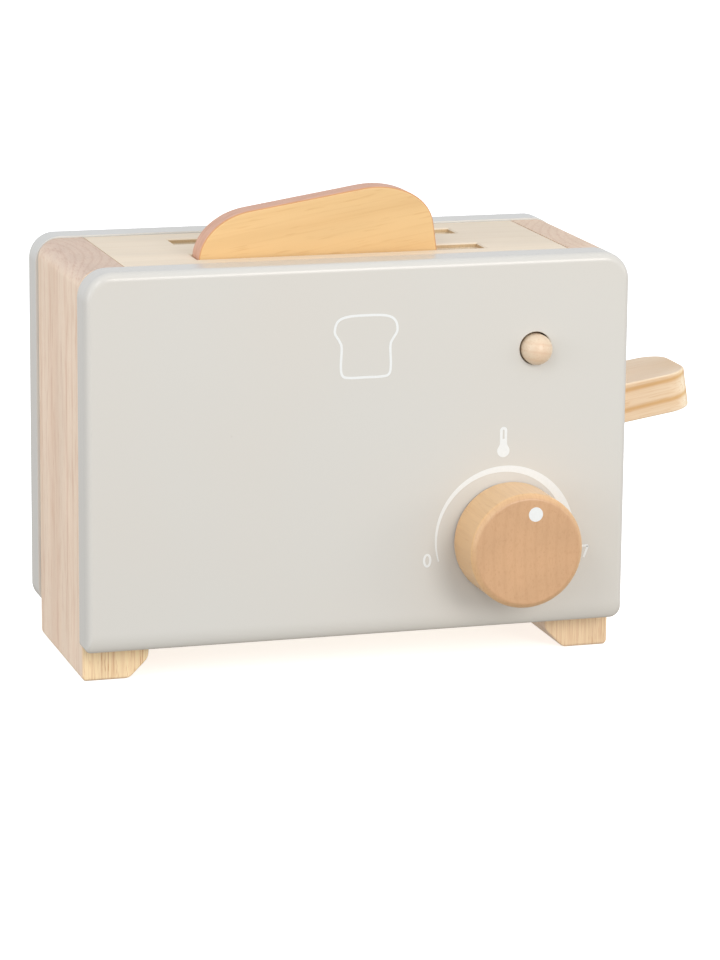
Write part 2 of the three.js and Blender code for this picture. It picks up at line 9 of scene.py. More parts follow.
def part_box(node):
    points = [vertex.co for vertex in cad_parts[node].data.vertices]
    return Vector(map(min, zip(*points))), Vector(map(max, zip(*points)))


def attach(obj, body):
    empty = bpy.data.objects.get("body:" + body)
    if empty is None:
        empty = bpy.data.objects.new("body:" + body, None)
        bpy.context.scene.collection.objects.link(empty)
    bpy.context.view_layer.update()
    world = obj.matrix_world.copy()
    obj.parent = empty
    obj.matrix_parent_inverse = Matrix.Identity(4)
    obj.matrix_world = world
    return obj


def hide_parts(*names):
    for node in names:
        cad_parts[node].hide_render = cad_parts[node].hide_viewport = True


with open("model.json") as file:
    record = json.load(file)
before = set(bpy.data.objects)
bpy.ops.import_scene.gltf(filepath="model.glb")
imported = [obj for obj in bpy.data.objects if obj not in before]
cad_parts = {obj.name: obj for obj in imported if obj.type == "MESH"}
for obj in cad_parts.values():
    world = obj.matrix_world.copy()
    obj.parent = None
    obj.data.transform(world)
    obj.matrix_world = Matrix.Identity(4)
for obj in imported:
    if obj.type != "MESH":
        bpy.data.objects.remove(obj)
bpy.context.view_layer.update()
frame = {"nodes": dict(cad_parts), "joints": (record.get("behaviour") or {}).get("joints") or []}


# Side boards.
# Two upright boards of solid pine that carry the panels. They run down past them to the floor as the feet,
# are sawn, sanded and oiled, and have a step for the top plate and a groove for the floor of the toy.
MM = 0.001
BOARD_CORNER = 7.2
EDGE_ROUNDING = 0.7
CRISP_SHARE = 0.4  # the inner, routed edges are only broken, to this share of the outer edges' rounding
FOOT_ROUNDING_FRONT, FOOT_ROUNDING_REAR = 1.2, 5
FOOT_EDGE = 2
FOOT_CHAMFER = 7.5
FOOT_SOFTENING = 2
TOP_STEP_WIDTH = 8
TOP_STEP_DEPTH = 9
TOP_FLUSH = 0.3  # boards and top plate lie a little closer to the panels' tops than their solids
GROOVE_DEPTH = 5
GROOVE_LOW, GROOVE_HIGH = 17.2, 23.8
LEVER_OPENING_LOW, LEVER_OPENING_HIGH = 70.7, 94.8
LEVER_OPENING_WIDTH = 35.6
MOUTH_EASE = 0.7
OVERRUN = 5
ARC_STEPS = 14
EASE_STEPS = 4
SHARP_ANGLE = 32  # an edge that turns by more degrees than this stays crisp
RIM_SUPPORT = 0.25  # a narrow flat ring inside each rounded rim, which keeps the flat face flat in the light
LEVEL_WEIGHT = 100  # large faces count most in which way a surface looks


def arc(x, y, radius, start, end, steps=ARC_STEPS):
    """Points round part of a circle, from one angle to another in degrees."""
    turns = [math.radians(start + (end - start) * i / steps) for i in range(steps + 1)]
    return [(x + radius * math.cos(t), y + radius * math.sin(t)) for t in turns]


def softened(before, corner, after, steps=6):
    """Points of a curve that takes the place of a sharp corner."""
    points = []
    for i in range(steps + 1):
        s = i / steps
        weights = ((1 - s) ** 2, 2 * s * (1 - s), s**2)
        points.append(tuple(sum(w * p[k] for w, p in zip(weights, (before, corner, after))) for k in (0, 1)))
    return points


def drawn_in(outline, amounts):
    """The same anticlockwise outline with every corner moved inwards by its own amount."""
    moved = []
    for i, (point, amount) in enumerate(zip(outline, amounts)):
        here = Vector(point)
        sides = (here - Vector(outline[i - 1]), Vector(outline[(i + 1) % len(outline)]) - here)
        first, second = (Vector((-side.y, side.x)).normalized() for side in sides)
        moved.append(here + (first + second) * (amount / (1 + first.dot(second))))
    return moved


def rounded_ends(length, first, last, steps=EASE_STEPS):
    """How far in and how far along each ring of a board lies, with a rounded rim at both ends."""
    turns = [math.radians(90 * i / steps) for i in range(steps + 1)]

    def rim(radius):
        quarter = [(radius * (1 - math.sin(t)), radius * (1 - math.cos(t))) for t in turns]
        return [(radius + RIM_SUPPORT, 0), *quarter, (0, radius + RIM_SUPPORT)]

    return rim(first) + [(inwards, length - along) for inwards, along in reversed(rim(last))]


def skin(name, rings, closed=False):
    """A closed solid through rings of equally many points, given in millimetres."""
    shape = bmesh.new()
    loops = [[shape.verts.new(Vector(p) * MM) for p in ring] for ring in rings]
    for lower, upper in zip(loops, loops[1:] + (loops[:1] if closed else [])):
        for i in range(len(lower)):
            shape.faces.new((lower[i - 1], lower[i], upper[i], upper[i - 1]))
    if not closed:
        shape.faces.new(loops[0])
        shape.faces.new(loops[-1])
    bmesh.ops.recalc_face_normals(shape, faces=shape.faces)
    mesh = bpy.data.meshes.new(name)
    shape.to_mesh(mesh)
    shape.free()
    piece = bpy.data.objects.new(name, mesh)
    bpy.context.scene.collection.objects.link(piece)
    return piece


def board(name, outline, profile, place, shares=None):
    """A board: its outline drawn in by the profile at each depth, and put in place point by point. A corner's
    share says how much of the profile's rounding it takes."""
    shares = shares or [1] * len(outline)
    length = profile[-1][1]
    rings = []
    for inwards, along in profile:
        corners = drawn_in(outline, [inwards * share for share in shares])
        depths = [along * s if along < length / 2 else length - (length - along) * s for s in shares]
        rings.append([place(u, v, depth) for (u, v), depth in zip(corners, depths)])
    return skin(name, rings)


def cut(piece, tool):
    """Takes the tool's shape out of the piece, as a drill or a router does."""
    step = piece.modifiers.new("cut", "BOOLEAN")
    step.object = tool
    step.solver = "EXACT"
    bpy.context.view_layer.update()
    whole = piece.data
    piece.data = bpy.data.meshes.new_from_object(piece.evaluated_get(bpy.context.evaluated_depsgraph_get()))
    piece.modifiers.clear()
    piece.data.name = piece.name
    bpy.data.objects.remove(tool)
    bpy.data.meshes.remove(whole)


def smooth(piece):
    """Shades curved faces as one surface, leaves real edges crisp, and keeps large flat faces flat."""
    shape = bmesh.new()
    shape.from_mesh(piece.data)
    for face in shape.faces:
        face.smooth = True
    for edge in shape.edges:
        edge.smooth = edge.is_manifold and edge.calc_face_angle() < math.radians(SHARP_ANGLE)
    shape.to_mesh(piece.data)
    shape.free()
    level = piece.modifiers.new("level", "WEIGHTED_NORMAL")
    level.weight = LEVEL_WEIGHT
    level.keep_sharp = True


def fit(piece, body, material, node=None):
    """Finishes a piece, lets it ride on its body, and shows it in place of the node that it details."""
    smooth(piece)
    piece.data.materials.append(material)
    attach(piece, body)
    if node:
        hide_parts(node)


def srgb(code):
    """A colour as it is seen, in hex, turned to the linear values that a shader takes."""
    parts = [int(code[i : i + 2], 16) / 255 for i in (0, 2, 4)]
    return (*(c / 12.92 if c <= 0.04045 else ((c + 0.055) / 1.055) ** 2.4 for c in parts), 1)


def add(tree, kind, sockets=(), **settings):
    """Adds a node with its settings, and sets or links its sockets."""
    node = tree.nodes.new("ShaderNode" + kind)
    for name, value in settings.items():
        setattr(node, name, value)
    for name, value in dict(sockets).items():
        if isinstance(value, bpy.types.NodeSocket):
            tree.links.new(value, node.inputs[name])
        else:
            node.inputs[name].default_value = value
    return node


def new_material(name, sockets):
    """A material that holds one surface shader, with its node tree."""
    material = bpy.data.materials.new(name)
    material.use_nodes = True
    tree = material.node_tree
    tree.nodes.clear()
    surface = add(tree, "BsdfPrincipled", sockets)
    add(tree, "OutputMaterial", {"Surface": surface.outputs[0]})
    return material, tree, surface


ALONG_X, ALONG_Y, ALONG_Z = (0, -90, 0), (90, 0, 0), (0, 0, 0)
MIX_A, MIX_B, MIX_RESULT = 6, 7, 2  # a colour Mix node's sockets
WAVE_UNIT = math.pi / 10  # a Wave node's rings and bands lie this far apart at a scale of 1
NOISE_LOW, NOISE_HIGH = 0.3, 0.7  # nearly all values of a Noise node lie between these
LATE_WOOD_SHARPNESS = 5  # the higher, the thinner the dark part of each yearly ring
RING_DRAW, FIBRE_DRAW, FLECK_DRAW, TONE_DRAW = 0.06, 0.02, 0.09, 0.25  # scales along the grain, 1 across it
FIBRE_LEVELS, FLECK_LEVELS = (0.5, 0.74), (0.62, 0.74)  # the noise at which a mark starts and is darkest
FLECK_WIDTH = 1.3  # in fibre widths
TONE_SPACING = 18
TONE_DARK, TONE_LIGHT = 0.94, 1.04
CAST_FULL = 0.95  # how squarely a face looks along an axis when it takes the whole cast
SHEEN_SPREAD = 0.08
RELIEF_DEPTH, RELIEF_STRENGTH = 0.05, 0.2


def wood(name, grain, pith, ring, ring_depth, fibre, layer, fibre_depth, early, late, flat, end, roughness,
         sawn="ffffff", fleck_depth=0.3, bend=1.6, calm=0, cast_from=0.72):
    """Bare wood as a block that the piece is cut out of. Yearly rings round a pith, thin fibres and short
    dark flecks run along the grain, with a slow change of tone. Flat-sawn faces, quarter-sawn faces and end
    grain have their own cast, and flat faces and end grain may have calmer marks. A cast follows the way a
    face looks, so it also carries painted light where it is set to how the light falls, as on the pine
    boards."""
    material, tree, surface = new_material(name, {"IOR": 1.5})
    coords = add(tree, "TexCoord")
    turn = [math.radians(a) for a in grain]
    place = [-p * MM for p in pith]
    log = add(tree, "Mapping", {"Vector": coords.outputs["Object"], "Rotation": turn, "Location": place})
    drawn = add(tree, "Mapping", {"Vector": log.outputs[0], "Scale": (1, 1, RING_DRAW)})
    sockets = {"Vector": drawn.outputs[0], "Scale": WAVE_UNIT / (ring * MM), "Distortion": bend,
               "Detail": 2, "Detail Scale": 0.4, "Detail Roughness": 0.6}
    rings = add(tree, "TexWave", sockets, wave_type="RINGS", rings_direction="Z", wave_profile="SIN")
    late_share = add(tree, "Math", {0: rings.outputs["Fac"], 1: LATE_WOOD_SHARPNESS}, operation="POWER")
    depth = add(tree, "Math", {0: late_share.outputs[0], 1: ring_depth}, operation="MULTIPLY")
    colour = add(tree, "Mix", {0: depth.outputs[0], MIX_A: srgb(early), MIX_B: srgb(late)}, data_type="RGBA")

    facing = add(tree, "Mapping", {"Vector": coords.outputs["Normal"], "Rotation": turn},
                 vector_type="VECTOR")
    parts = add(tree, "SeparateXYZ", {0: facing.outputs[0]})
    shares = []
    for way in ("X", "Y", "Z"):
        squarely = add(tree, "Math", {0: parts.outputs[way]}, operation="ABSOLUTE")
        reach = {"Value": squarely.outputs[0], "From Min": cast_from, "From Max": CAST_FULL}
        shares.append(add(tree, "MapRange", reach))
    flat_share, sawn_share, end_share = shares
    either = add(tree, "Math", {0: flat_share.outputs[0], 1: end_share.outputs[0]}, operation="ADD",
                 use_clamp=True)
    clear = add(tree, "MapRange", {"Value": either.outputs[0], "To Min": 1, "To Max": 1 - calm})

    fine = add(tree, "Mapping", {"Vector": log.outputs[0], "Scale": (1, layer, FIBRE_DRAW)})
    fibres = add(tree, "TexNoise", {"Vector": fine.outputs[0], "Scale": 1 / (fibre * MM), "Detail": 3})
    short = add(tree, "Mapping", {"Vector": log.outputs[0], "Scale": (1, 1, FLECK_DRAW)})
    width = FLECK_WIDTH * fibre * MM
    flecks = add(tree, "TexNoise", {"Vector": short.outputs[0], "Scale": 1 / width, "Detail": 1})
    for marks, levels, most in ((fibres, FIBRE_LEVELS, fibre_depth), (flecks, FLECK_LEVELS, fleck_depth)):
        reach = {"Value": marks.outputs["Fac"], "From Min": levels[0], "From Max": levels[1], "To Max": most}
        share = add(tree, "MapRange", reach)
        calmed = add(tree, "Math", {0: share.outputs[0], 1: clear.outputs[0]}, operation="MULTIPLY")
        sockets = {0: calmed.outputs[0], MIX_A: colour.outputs[MIX_RESULT], MIX_B: srgb(late)}
        colour = add(tree, "Mix", sockets, data_type="RGBA")

    slow = add(tree, "Mapping", {"Vector": log.outputs[0], "Scale": (1, 1, TONE_DRAW)})
    tone = add(tree, "TexNoise", {"Vector": slow.outputs[0], "Scale": 1 / (TONE_SPACING * MM), "Detail": 2})
    reach = {"Value": tone.outputs["Fac"], "From Min": NOISE_LOW, "From Max": NOISE_HIGH,
             "To Min": TONE_DARK, "To Max": TONE_LIGHT}
    toned = add(tree, "MapRange", reach)
    colour = add(tree, "Mix", {0: 1, MIX_A: colour.outputs[MIX_RESULT], MIX_B: toned.outputs[0]},
                 data_type="RGBA", blend_type="MULTIPLY")

    for share, cast in ((flat_share, flat), (sawn_share, sawn), (end_share, end)):
        sockets = {0: share.outputs[0], MIX_A: colour.outputs[MIX_RESULT], MIX_B: srgb(cast)}
        colour = add(tree, "Mix", sockets, data_type="RGBA", blend_type="MULTIPLY")
    tree.links.new(colour.outputs[MIX_RESULT], surface.inputs["Base Color"])

    duller, glossier = roughness + SHEEN_SPREAD, roughness - SHEEN_SPREAD
    sheen = add(tree, "MapRange", {"Value": fibres.outputs["Fac"], "To Min": duller, "To Max": glossier})
    tree.links.new(sheen.outputs[0], surface.inputs["Roughness"])
    relief = add(tree, "Bump", {"Height": fibres.outputs["Fac"], "Strength": RELIEF_STRENGTH,
                                "Distance": RELIEF_DEPTH * MM})
    tree.links.new(relief.outputs[0], surface.inputs["Normal"])
    return material


# Oiled pine: cream, with brown fibres that lie in upright layers, so that they show as clear streaks on the
# feet and the ends and only as straight, faint lines on the flat side. End grain drinks the oil and goes
# darker. Real fibres are finer than the 0.4 mm drawn here, which is what the picture can still show.
# Painted light in the casts: the boards' flat sides take a cool cast for the cool light from the side, and
# their sawn faces, the feet, a warm cast for the warm light from the front. The left board's end grain is set
# darker and its feet lighter than the right board's.
pine_left, pine_right = (
    wood(f"oiled_pine_{side}", ALONG_Z, pith, ring=3.2, ring_depth=0.15, fibre=0.4, layer=0.14,
         fibre_depth=0.6, early="ffe9ca", late="cb8f60", flat="faf8ff", sawn=sawn, end=end, roughness=0.5,
         fleck_depth=0.5, bend=0.7, calm=0.45, cast_from=0.2)
    for side, pith, sawn, end in (
        ("left", (-190, 20, 0), "fffbeb", "ddd7de"),
        ("right", (150, -10, 0), "f2eade", "e9e3e6"),
    )
)

for side, mirrored, pine in (("left", 1, pine_left), ("right", -1, pine_right)):
    low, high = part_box(f"{side}_side_board")
    outer = (low.x if mirrored > 0 else high.x) / MM
    thick, deep, top = (high.x - low.x) / MM, (high.y - low.y) / MM, high.z / MM + TOP_FLUSH
    slant, diagonal = thick - FOOT_CHAMFER, FOOT_SOFTENING / math.sqrt(2)
    foot = [
        *arc(FOOT_EDGE, FOOT_EDGE, FOOT_EDGE, 180, 270),
        *softened((slant - FOOT_SOFTENING, 0), (slant, 0), (slant + diagonal, diagonal)),
        *softened((thick - diagonal, FOOT_CHAMFER - diagonal), (thick, FOOT_CHAMFER),
                  (thick, FOOT_CHAMFER + FOOT_SOFTENING)),
    ]
    routed = [
        (thick, GROOVE_LOW), (thick - GROOVE_DEPTH, GROOVE_LOW),
        (thick - GROOVE_DEPTH, GROOVE_HIGH), (thick, GROOVE_HIGH),
        (thick, high.z / MM - TOP_STEP_DEPTH), (thick - TOP_STEP_WIDTH, high.z / MM - TOP_STEP_DEPTH),
        (thick - TOP_STEP_WIDTH, top),
    ]
    shoulder = arc(BOARD_CORNER, top - BOARD_CORNER, BOARD_CORNER, 90, 180)
    shares = [1] * len(foot) + [CRISP_SHARE] * len(routed) + [1] * len(shoulder)
    front = low.y / MM
    rims = rounded_ends(deep, EDGE_ROUNDING, EDGE_ROUNDING)
    piece = board(f"{side}_board_detailed", foot + routed + shoulder, rims,
                  lambda u, v, along: (outer + mirrored * u, front + along, v), shares)
    for edge, way, radius in ((front, 1, FOOT_ROUNDING_FRONT), (front + deep, -1, FOOT_ROUNDING_REAR)):
        quarter = arc(radius, radius, radius, 270, 180)
        waste = [(-OVERRUN, -OVERRUN), (radius, -OVERRUN), *quarter, (-OVERRUN, radius)]
        cut(piece, board("foot_rasp", waste, [(0, -OVERRUN), (0, thick + OVERRUN)],
                         lambda u, v, along: (outer + mirrored * along, edge + way * u, v)))
    if side == "right":
        middle = (low.y + high.y) / 2 / MM
        half = LEVER_OPENING_WIDTH / 2
        mouth = [(middle - half, LEVER_OPENING_LOW), (middle + half, LEVER_OPENING_LOW),
                 (middle + half, LEVER_OPENING_HIGH), (middle - half, LEVER_OPENING_HIGH)]
        flare = [(0, -thick - OVERRUN), (0, -MOUTH_EASE), (-MOUTH_EASE, 0), (-MOUTH_EASE, OVERRUN)]
        cut(piece, board("lever_opening", mouth, flare, lambda u, v, along: (outer + along, u, v)))
    fit(piece, "case", pine, f"{side}_side_board")


# Front and rear panels.
# Boards with rounded corners, their outer edges rounded over with a router, then sprayed with an opaque warm
# grey lacquer. The front one is drilled for the button and the dial's spindle, both panels sit on dowels.
TOP_CORNER = {"front": 10.5, "rear": 9.5}
BOTTOM_CORNERS = {"front": (1.8, 4.2), "rear": (7.2, 7.2)}  # the left and the right one, seen from the front
SHARPEST_CORNER = 0.05
PANEL_ROUNDOVER = {"front": 3, "rear": 2}
SIDE_SHARE = {"front": 0.8, "rear": 1}  # how far the rounding reaches in from the sides, against the top's
BOTTOM_SHARE = {"front": 2.2, "rear": 1}  # the same from the bottom, where the front panel is sanded softer
PANEL_DROP = {"front": 0, "rear": 3}  # how far the lower edge reaches below the solid's
PANEL_INNER_EASE = 0.4
ROUNDOVER_STEPS = 10
BUTTON_HOLE = 6.1
SPINDLE_HOLE = 4.3
HOLE_EASE = 0.35
HOLE_EASE_TURNS = (0, 30, 60, 90)
TURNING_SIDES = 96


def panel_ring(side, left, right, bottom, top, inwards):
    """The panel's outline drawn in. A corner smaller than that turns sharp, as a router leaves it."""
    corners = (TOP_CORNER[side], *BOTTOM_CORNERS[side])
    upper, low_left, low_right = (max(corner - inwards, SHARPEST_CORNER) for corner in corners)
    sideways, upwards = inwards * SIDE_SHARE[side], inwards * BOTTOM_SHARE[side]
    left, right, bottom, top = left + sideways, right - sideways, bottom + upwards, top - inwards
    return [*arc(right - upper, top - upper, upper, 0, 90), *arc(left + upper, top - upper, upper, 90, 180),
            *arc(left + low_left, bottom + low_left, low_left, 180, 270),
            *arc(right - low_right, bottom + low_right, low_right, 270, 360)]


def turned(name, profile, x, z, sides=TURNING_SIDES):
    """A turned shape round an axis that runs front to back, from pairs of radius and place along it."""
    turns = [2 * math.pi * i / sides for i in range(sides)]
    return skin(name, [[(x + r * math.cos(t), y, z + r * math.sin(t)) for t in turns] for r, y in profile])


# Sprayed satin lacquer: a smooth coat with a soft shine, the faintest ripple left by the spray, a tone that
# wanders by a percent or two, and here and there a faint dust speck under the coat.
RIPPLE_SPACING, RIPPLE_DEPTH, RIPPLE_STRENGTH = 2.2, 0.03, 0.12
DRIFT_SPACING, DUST_SPACING = 70, 25
DUST_CORE, DUST_EDGE = 0.008, 0.016  # a speck's radii, as shares of the spacing
DUST_TINT = 0.2
lacquer, tree, surface = new_material("sprayed_grey_lacquer", {"Roughness": 0.24, "IOR": 1.5})
coords = add(tree, "TexCoord")
spacing = {"Vector": coords.outputs["Object"], "Scale": 1 / (RIPPLE_SPACING * MM), "Detail": 2}
ripple = add(tree, "TexNoise", spacing)
relief = add(tree, "Bump", {"Height": ripple.outputs["Fac"], "Strength": RIPPLE_STRENGTH,
                            "Distance": RIPPLE_DEPTH * MM})
tree.links.new(relief.outputs[0], surface.inputs["Normal"])
spacing = {"Vector": coords.outputs["Object"], "Scale": 1 / (DRIFT_SPACING * MM), "Detail": 1}
drift = add(tree, "TexNoise", spacing)
drifted = add(tree, "Mix", {0: drift.outputs["Fac"], MIX_A: srgb("d3d3ce"), MIX_B: srgb("d5d1c9")},
              data_type="RGBA")
dust = add(tree, "TexVoronoi", {"Vector": coords.outputs["Object"], "Scale": 1 / (DUST_SPACING * MM)})
spots = add(tree, "MapRange", {"Value": dust.outputs["Distance"], "From Min": DUST_CORE,
                               "From Max": DUST_EDGE, "To Min": DUST_TINT, "To Max": 0})
specked = add(tree, "Mix", {0: spots.outputs[0], MIX_A: drifted.outputs[MIX_RESULT], MIX_B: srgb("a79e90")},
              data_type="RGBA")
tree.links.new(specked.outputs[MIX_RESULT], surface.inputs["Base Color"])

knob_low, knob_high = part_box("knob")
knob_x, knob_z = ((knob_low[k] + knob_high[k]) / 2 / MM for k in (0, 2))
peg_low, peg_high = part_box("button_peg")
peg_x, peg_z = ((peg_low[k] + peg_high[k]) / 2 / MM for k in (0, 2))
for side in ("front", "rear"):
    low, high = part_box(f"{side}_panel")
    left, right, bottom, top = low.x / MM, high.x / MM, low.z / MM - PANEL_DROP[side], high.z / MM
    thick = (high.y - low.y) / MM
    face, way = (low.y / MM, 1) if side == "front" else (high.y / MM, -1)
    profile = rounded_ends(thick, PANEL_ROUNDOVER[side], PANEL_INNER_EASE, ROUNDOVER_STEPS)
    piece = skin(f"{side}_panel_lacquered", [
        [(x, face + way * along, z) for x, z in panel_ring(side, left, right, bottom, top, inwards)]
        for inwards, along in profile
    ])
    if side == "front":
        behind, before = face + thick + OVERRUN, face - OVERRUN
        rim = [(BUTTON_HOLE + HOLE_EASE * (1 - math.sin(t)), face + HOLE_EASE * (1 - math.cos(t)))
               for t in (math.radians(a) for a in HOLE_EASE_TURNS)]
        bore = [(BUTTON_HOLE + HOLE_EASE, before), *rim, (BUTTON_HOLE, behind)]
        cut(piece, turned("button_drill", bore, peg_x, peg_z))
        cut(piece, turned("spindle_drill", [(SPINDLE_HOLE, before), (SPINDLE_HOLE, behind)], knob_x, knob_z))
    fit(piece, "case", lacquer, f"{side}_panel")


# Printed marks.
# White ink, screen printed on the front panel: a scale round the dial that grows from 0 to 7, a small
# thermometer, and in the middle the plain outline of a slice of bread.
INK = 0.04
SCALE_X, SCALE_Z, SCALE_RADIUS = 34.95, 47.6, 26
SCALE_START, SCALE_END = 197, -17
SCALE_THIN, SCALE_THICK = 0.5, 4.1
SCALE_STEPS = 72
FIGURE_HEIGHT, FIGURE_WIDTH, FIGURE_STROKE = 4.4, 2.4, 0.85
FIGURE_STEPS = 24
ZERO_X, ZERO_Z = 5.7, 40.6
SEVEN_X, SEVEN_Z, SEVEN_CORNER = 67.2, 40.3, 0.1
BULB_X, BULB_Z, BULB_RADIUS = 34.5, 80.4, 2.4
BULB_START, BULB_END, BULB_STEPS = 140, 400, 36
BULB_COAT = 1.5  # in ink coats, so that the bulb covers the stem's lower end
STEM_TOP, STEM_HALF, STEM_STROKE = 89.4, 0.87, 1.06
STEM_STEPS = 10
NECK_LOW, NECK_HIGH = 82.9, 84.9
BREAD_X, BREAD_Z, BREAD_HALF, BREAD_STROKE = -18.6, 121.8, 11.8, 0.9
panel_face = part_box("front_panel")[0].y / MM


def ribbon(name, path, widths, face, closed=False):
    """A flat printed stroke along a path on a face that looks towards the viewer."""
    rings = []
    last = len(path) - 1
    for i, (x, z) in enumerate(path):
        before = path[i - 1] if i or closed else path[i]
        after = path[(i + 1) % len(path)] if i < last or closed else path[i]
        ahead = Vector((after[0] - before[0], after[1] - before[1])).normalized()
        aside = Vector((-ahead.y, ahead.x)) * widths[i] / 2
        left, right = (x + aside.x, z + aside.y), (x - aside.x, z - aside.y)
        rings.append([(left[0], face - INK, left[1]), (right[0], face - INK, right[1]),
                      (right[0], face + INK, right[1]), (left[0], face + INK, left[1])])
    return skin(name, rings, closed)


def curve_through(points, steps=6):
    """A smooth closed path through the points."""
    path = []
    for i in range(len(points)):
        p0, p1, p2, p3 = (Vector(points[(i + k) % len(points)]) for k in (-1, 0, 1, 2))
        for j in range(steps):
            s = j / steps
            bend = (2 * p0 - 5 * p1 + 4 * p2 - p3) * s**2 + (3 * p1 - p0 - 3 * p2 + p3) * s**3
            path.append(tuple(p1 + ((p2 - p0) * s + bend) / 2))
    return path


# Screen ink: bright, a little cool, flatter than the lacquer, with the thin patches that a mesh leaves.
PATCH_SPACING = 0.9
ink, tree, surface = new_material("white_screen_ink", {"Roughness": 0.5, "IOR": 1.5})
coords = add(tree, "TexCoord")
spacing = {"Vector": coords.outputs["Object"], "Scale": 1 / (PATCH_SPACING * MM), "Detail": 2}
patches = add(tree, "TexNoise", spacing)
thin = add(tree, "Mix", {0: patches.outputs["Fac"], MIX_A: srgb("ebeeed"), MIX_B: srgb("e2e5e4")},
           data_type="RGBA")
tree.links.new(thin.outputs[MIX_RESULT], surface.inputs["Base Color"])

scale_path = arc(SCALE_X, SCALE_Z, SCALE_RADIUS, SCALE_START, SCALE_END, SCALE_STEPS)
growth = SCALE_THICK - SCALE_THIN
scale_widths = [SCALE_THIN + growth * i / SCALE_STEPS for i in range(SCALE_STEPS + 1)]
half, tall = FIGURE_WIDTH / 2, FIGURE_HEIGHT / 2
rounds = [math.radians(360 / FIGURE_STEPS * i) for i in range(FIGURE_STEPS)]
zero_path = [(ZERO_X + half * math.cos(t), ZERO_Z + tall * math.sin(t)) for t in rounds]
seven_path = [(SEVEN_X - half, SEVEN_Z + tall), (SEVEN_X + half - SEVEN_CORNER, SEVEN_Z + tall),
              (SEVEN_X + half, SEVEN_Z + tall - 2 * SEVEN_CORNER), (SEVEN_X - half / 3, SEVEN_Z - tall)]
stem_low, stem_high = NECK_HIGH - STEM_STROKE / 2, STEM_TOP - STEM_HALF - STEM_STROKE / 2
stem_path = [(BULB_X + STEM_HALF, stem_low), *arc(BULB_X, stem_high, STEM_HALF, 0, 180, STEM_STEPS),
             (BULB_X - STEM_HALF, stem_low)]
neck = STEM_HALF + STEM_STROKE / 2
bulb = arc(BULB_X, BULB_Z, BULB_RADIUS, BULB_START, BULB_END, BULB_STEPS)
bulb_outline = [(BULB_X + neck, NECK_LOW), (BULB_X + neck, NECK_HIGH), (BULB_X - neck, NECK_HIGH),
                (BULB_X - neck, NECK_LOW), *bulb]
bread_shares = [(0.0, -0.95), (0.5, -0.95), (0.74, -0.88), (0.8, -0.6), (0.78, 0.0), (0.86, 0.22),
                (1.0, 0.48), (0.92, 0.8), (0.62, 0.95), (0.0, 0.98)]
bread_shares += [(-x, z) for x, z in reversed(bread_shares[1:-1])]
bread_path = curve_through([(BREAD_X + x * BREAD_HALF, BREAD_Z + z * BREAD_HALF) for x, z in bread_shares])
marks = [
    ribbon("dial_scale", scale_path, scale_widths, panel_face),
    ribbon("figure_zero", zero_path, [FIGURE_STROKE] * len(zero_path), panel_face, True),
    ribbon("figure_seven", seven_path, [FIGURE_STROKE] * len(seven_path), panel_face),
    ribbon("thermometer_stem", stem_path, [STEM_STROKE] * len(stem_path), panel_face, True),
    board("thermometer_bulb", bulb_outline, [(0, -BULB_COAT * INK), (0, INK)],
          lambda u, v, along: (u, panel_face + along, v)),
    ribbon("bread_outline", bread_path, [BREAD_STROKE] * len(bread_path), panel_face, True),
]
for mark in marks:
    fit(mark, "case", ink)


# Top plate and floor.
# Birch plywood. The top lies in the boards' steps with a hairline joint all round, its two slots are
# routed with barely broken edges, and their walls show the layers. The floor slides into the grooves.
SLOT_LENGTH, SLOT_WIDTH, SLOT_SPACING = 110, 12, 34.4
SLOT_EASE = 0.5
PLATE_EASE = 0.3
PLY_LAYER = 1.5
PLY_CRISP_FROM, PLY_CRISP_TO = 0.4, 0.6
CRUMB_SIZE, CRUMB_DARK, CRUMB_LIGHT = 0.6, 0.9, 1.05
Y_AXIS, Z_AXIS = 1, 2
SIDEWAYS, NEARLY_SQUARE = 0.5, 0.97  # how squarely a face looks along an axis before it stays bare

# Birch plywood face: almost white with a cream cast, smooth, very fine straight lines, hardly any rings.
birch = wood("birch_plywood_face", ALONG_X, (0, 260, -160), ring=9, ring_depth=0.06, fibre=0.8, layer=1,
             fibre_depth=0.12, early="f1e3cc", late="d8be98", flat="fffdfc", end="f0e6d8", roughness=0.55,
             fleck_depth=0.1)

# Birch plywood edge: layers 1.5 mm thick, every second one with its end grain showing and darker for it.
ply_edge, tree, surface = new_material("birch_plywood_edge", {"Roughness": 0.7, "IOR": 1.5})
coords = add(tree, "TexCoord")
spacing = {"Vector": coords.outputs["Object"], "Scale": WAVE_UNIT / (2 * PLY_LAYER * MM), "Distortion": 0.3,
           "Phase Offset": 1.2}
layers = add(tree, "TexWave", spacing, wave_type="BANDS", bands_direction="Z", wave_profile="SIN")
reach = {"Value": layers.outputs["Fac"], "From Min": PLY_CRISP_FROM, "From Max": PLY_CRISP_TO}
crisp = add(tree, "MapRange", reach)
spacing = {"Vector": coords.outputs["Object"], "Scale": 1 / (CRUMB_SIZE * MM), "Detail": 2}
crumbs = add(tree, "TexNoise", spacing)
striped = add(tree, "Mix", {0: crisp.outputs[0], MIX_A: srgb("f3e5ca"), MIX_B: srgb("dcc096")},
              data_type="RGBA")
grained = add(tree, "MapRange", {"Value": crumbs.outputs["Fac"], "From Min": NOISE_LOW,
                                 "From Max": NOISE_HIGH, "To Min": CRUMB_DARK, "To Max": CRUMB_LIGHT})
rough = add(tree, "Mix", {0: 1, MIX_A: striped.outputs[MIX_RESULT], MIX_B: grained.outputs[0]},
            data_type="RGBA", blend_type="MULTIPLY")
tree.links.new(rough.outputs[MIX_RESULT], surface.inputs["Base Color"])


def rectangle(x0, y0, x1, y1):
    """A rectangle's outline from two opposite corners."""
    return [(x0, y0), (x1, y0), (x1, y1), (x0, y1)]


def paint_sides(piece, material, axis, limit=SIDEWAYS):
    """Gives a second material to the faces that don't look along the axis."""
    piece.data.materials.append(material)
    for face in piece.data.polygons:
        face.material_index = 1 if abs(face.normal[axis]) < limit else 0


